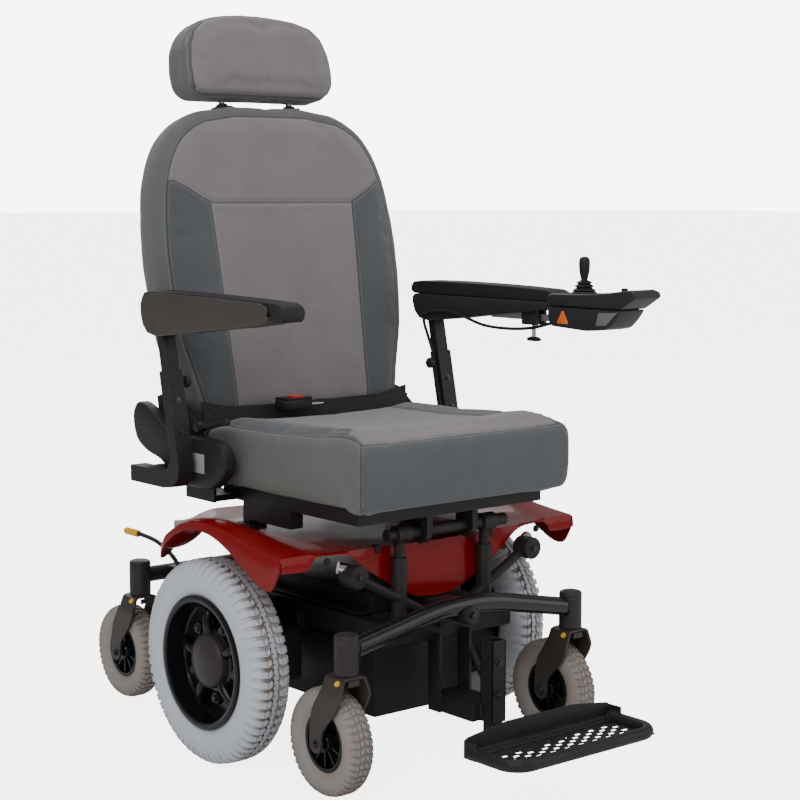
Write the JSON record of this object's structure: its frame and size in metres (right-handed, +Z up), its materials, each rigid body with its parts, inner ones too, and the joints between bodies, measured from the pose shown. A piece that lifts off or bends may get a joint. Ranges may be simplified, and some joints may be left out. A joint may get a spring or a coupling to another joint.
{
  "type": "power wheelchair",
  "caption": "Mid-wheel drive power wheelchair with captain seat, headrest, flip-up arms, joystick, flip-up footplate, swivel casters.",
  "frame": {"origin": "middle of the chair's footprint, on the floor", "axes": "+Z up, -Y the way the chair faces, +X the user's left, the joystick side"},
  "size_m": [0.672, 1.162, 1.322],
  "materials": {
    "frame_black": "semi-gloss black powder coat",
    "shroud_red": "high-gloss metallic red paint over moulded plastic",
    "tyre_grey": "pale blue-grey non-marking rubber",
    "caster_grey": "warm grey non-marking rubber",
    "rim_dark": "dark brown-black satin, glossy inside the dish",
    "plastic_black": "fine-grained moulded black",
    "plastic_brown": "fine-grained dark brown-grey",
    "fabric_light": "taupe-grey woven upholstery with blue-grey side panels",
    "fabric_dark": "grey woven upholstery",
    "pad_dark": "soft grained black skin over foam",
    "lever_black": "black rod with a yellow sleeve grip",
    "button_red": "bright red",
    "webbing": "tight woven black webbing",
    "cable_black": "satin black jacket",
    "bright_metal": "bright plated steel",
    "back_board": "black back shell"
  },
  "bodies": {
    "chassis": {"chassis_frame": "frame_black", "battery_box": "plastic_black", "battery_front": "plastic_black", "battery_rear": "plastic_black", "power_module": "plastic_black", "motor_left": "plastic_black", "motor_right": "plastic_black", "rear_carrier": "frame_black", "shroud": "shroud_red"},
    "wheel_left": {"drive_rim_left": "rim_dark", "drive_tyre_left": "tyre_grey"},
    "wheel_right": {"drive_rim_right": "rim_dark", "drive_tyre_right": "tyre_grey"},
    "front_beam": {"front_beam": "frame_black"},
    "swivel_front_left": {"caster_fork_front_left": "frame_black"},
    "caster_front_left": {"caster_rim_front_left": "rim_dark", "caster_tyre_front_left": "caster_grey"},
    "swivel_front_right": {"caster_fork_front_right": "frame_black"},
    "caster_front_right": {"caster_rim_front_right": "rim_dark", "caster_tyre_front_right": "caster_grey"},
    "swivel_rear_left": {"caster_fork_rear_left": "frame_black"},
    "caster_rear_left": {"caster_rim_rear_left": "rim_dark", "caster_tyre_rear_left": "caster_grey"},
    "swivel_rear_right": {"caster_fork_rear_right": "frame_black"},
    "caster_rear_right": {"caster_rim_rear_right": "rim_dark", "caster_tyre_rear_right": "caster_grey"},
    "footrest": {"footrest_post": "frame_black"},
    "footplate": {"footplate": "plastic_black"},
    "freewheel_left": {"freewheel_lever_left": "lever_black"},
    "freewheel_right": {"freewheel_lever_right": "lever_black"},
    "seat_riser": {"seat_riser_front": "frame_black", "seat_riser_rear": "frame_black"},
    "seat": {"seat_frame": "frame_black", "seat_cushion": "fabric_light", "side_cover_left": "plastic_black", "side_cover_right": "plastic_black", "seat_belt": "webbing", "belt_buckle": "plastic_black"},
    "recline_lever": {"recline_lever": "plastic_black"},
    "buckle_button": {"buckle_button": "button_red"},
    "backrest": {"backrest_frame": "back_board", "backrest_cushion": "fabric_light"},
    "headrest": {"headrest_posts": "bright_metal", "headrest_pad": "fabric_dark"},
    "arm_mount_left": {"arm_mount_left": "frame_black"},
    "arm_post_left": {"arm_post_left": "frame_black"},
    "arm_left": {"arm_shell_left": "plastic_brown", "arm_pad_left": "pad_dark"},
    "arm_mount_right": {"arm_mount_right": "frame_black"},
    "arm_post_right": {"arm_post_right": "frame_black", "post_cable": "cable_black"},
    "arm_right": {"arm_shell_right": "plastic_brown", "arm_pad_right": "pad_dark", "joystick_cable": "cable_black"},
    "joystick": {"joystick_bar": "frame_black", "joystick_housing": "plastic_black"},
    "stick_side": {"joystick_gimbal": "bright_metal"},
    "stick_fore": {"joystick_stick": "plastic_black"},
    "power_button": {"power_button": "button_red"},
    "clamp_knob": {"clamp_knob": "plastic_black"}
  },
  "joints": [
    {"name": "wheel_left_roll", "type": "hinge", "parent": "chassis", "child": "wheel_left", "pos_m": [-0.294, 0.04, 0.178], "axis": [1, 0, 0], "continuous": true},
    {"name": "wheel_right_roll", "type": "hinge", "parent": "chassis", "child": "wheel_right", "pos_m": [0.294, 0.04, 0.178], "axis": [1, 0, 0], "continuous": true},
    {"name": "front_beam_rock", "type": "hinge", "parent": "chassis", "child": "front_beam", "pos_m": [0, -0.274, 0.272], "axis": [0, 1, 0], "range_deg": [-4, 4]},
    {"name": "caster_front_left_swivel", "type": "hinge", "parent": "front_beam", "child": "swivel_front_left", "pos_m": [-0.253, -0.274, 0.21], "axis": [0, 0, 1], "continuous": true},
    {"name": "caster_front_left_roll", "type": "hinge", "parent": "swivel_front_left", "child": "caster_front_left", "pos_m": [-0.253, -0.2325, 0.0905], "axis": [1, 0, 0], "continuous": true},
    {"name": "caster_front_right_swivel", "type": "hinge", "parent": "front_beam", "child": "swivel_front_right", "pos_m": [0.253, -0.274, 0.21], "axis": [0, 0, 1], "continuous": true},
    {"name": "caster_front_right_roll", "type": "hinge", "parent": "swivel_front_right", "child": "caster_front_right", "pos_m": [0.253, -0.2325, 0.0905], "axis": [1, 0, 0], "continuous": true},
    {"name": "caster_rear_left_swivel", "type": "hinge", "parent": "chassis", "child": "swivel_rear_left", "pos_m": [-0.197, 0.449, 0.21], "axis": [0, 0, 1], "continuous": true},
    {"name": "caster_rear_left_roll", "type": "hinge", "parent": "swivel_rear_left", "child": "caster_rear_left", "pos_m": [-0.197, 0.4905, 0.0905], "axis": [1, 0, 0], "continuous": true},
    {"name": "caster_rear_right_swivel", "type": "hinge", "parent": "chassis", "child": "swivel_rear_right", "pos_m": [0.197, 0.449, 0.21], "axis": [0, 0, 1], "continuous": true},
    {"name": "caster_rear_right_roll", "type": "hinge", "parent": "swivel_rear_right", "child": "caster_rear_right", "pos_m": [0.197, 0.4905, 0.0905], "axis": [1, 0, 0], "continuous": true},
    {"name": "footrest_height", "type": "slide", "parent": "chassis", "child": "footrest", "axis": [0, 0, 1], "range_m": [-0.035, 0]},
    {"name": "footplate_flip", "type": "hinge", "parent": "footrest", "child": "footplate", "pos_m": [0, -0.454, 0.097], "axis": [-1, 0, 0], "range_deg": [0, 90]},
    {"name": "freewheel_left_lift", "type": "hinge", "parent": "chassis", "child": "freewheel_left", "pos_m": [-0.18, 0.302, 0.235], "axis": [1, 0, 0], "range_deg": [0, 25]},
    {"name": "freewheel_right_lift", "type": "hinge", "parent": "chassis", "child": "freewheel_right", "pos_m": [0.18, 0.302, 0.235], "axis": [1, 0, 0], "range_deg": [0, 25]},
    {"name": "seat_height", "type": "slide", "parent": "chassis", "child": "seat_riser", "axis": [0, 0, 1], "range_m": [0, 0.05]},
    {"name": "seat_tilt", "type": "hinge", "parent": "seat_riser", "child": "seat", "pos_m": [0, -0.222, 0.413], "axis": [1, 0, 0], "range_deg": [0, 40]},
    {"name": "recline_lever_lift", "type": "hinge", "parent": "seat", "child": "recline_lever", "pos_m": [-0.2673, 0.125, 0.5735], "axis": [-1, 0, 0], "range_deg": [0, 20], "stiffness_Nm_per_rad": 0.4},
    {"name": "buckle_button_press", "type": "slide", "parent": "seat", "child": "buckle_button", "axis": [0, 0, -1], "range_m": [0, 0.002], "stiffness_N_per_m": 400},
    {"name": "backrest_recline", "type": "hinge", "parent": "seat", "child": "backrest", "pos_m": [0, 0.14, 0.525], "axis": [-1, 0, 0], "range_deg": [-5, 18]},
    {"name": "headrest_height", "type": "slide", "parent": "backrest", "child": "headrest", "axis": [0, 0.1736, 0.9848], "range_m": [0, 0.07]},
    {"name": "arm_left_width", "type": "slide", "parent": "seat", "child": "arm_mount_left", "axis": [-1, 0, 0], "range_m": [0, 0.04]},
    {"name": "arm_left_height", "type": "slide", "parent": "arm_mount_left", "child": "arm_post_left", "axis": [0, 0.2079, 0.9781], "range_m": [0, 0.06]},
    {"name": "arm_left_flip", "type": "hinge", "parent": "arm_post_left", "child": "arm_left", "pos_m": [-0.31, 0.16459, 0.74501], "axis": [-1, 0, 0], "range_deg": [0, 100]},
    {"name": "arm_right_width", "type": "slide", "parent": "seat", "child": "arm_mount_right", "axis": [1, 0, 0], "range_m": [0, 0.04]},
    {"name": "arm_right_height", "type": "slide", "parent": "arm_mount_right", "child": "arm_post_right", "axis": [0, 0.2079, 0.9781], "range_m": [0, 0.06]},
    {"name": "arm_right_flip", "type": "hinge", "parent": "arm_post_right", "child": "arm_right", "pos_m": [0.31, 0.16459, 0.74501], "axis": [-1, 0, 0], "range_deg": [0, 100]},
    {"name": "joystick_reach", "type": "slide", "parent": "arm_right", "child": "joystick", "axis": [0, -1, 0], "range_m": [0, 0.05]},
    {"name": "stick_side_tilt", "type": "hinge", "parent": "joystick", "child": "stick_side", "pos_m": [0.295, -0.258, 0.79001], "axis": [0, 1, 0], "range_deg": [-12, 12], "stiffness_Nm_per_rad": 0.08},
    {"name": "stick_fore_tilt", "type": "hinge", "parent": "stick_side", "child": "stick_fore", "pos_m": [0.295, -0.258, 0.79001], "axis": [1, 0, 0], "range_deg": [-12, 12], "stiffness_Nm_per_rad": 0.08},
    {"name": "power_button_press", "type": "slide", "parent": "joystick", "child": "power_button", "axis": [0, 0, -1], "range_m": [0, 0.0012], "stiffness_N_per_m": 300},
    {"name": "clamp_knob_turn", "type": "hinge", "parent": "arm_right", "child": "clamp_knob", "pos_m": [0.31, -0.115, 0.72501], "axis": [0, 0, 1], "continuous": true}
  ]
}
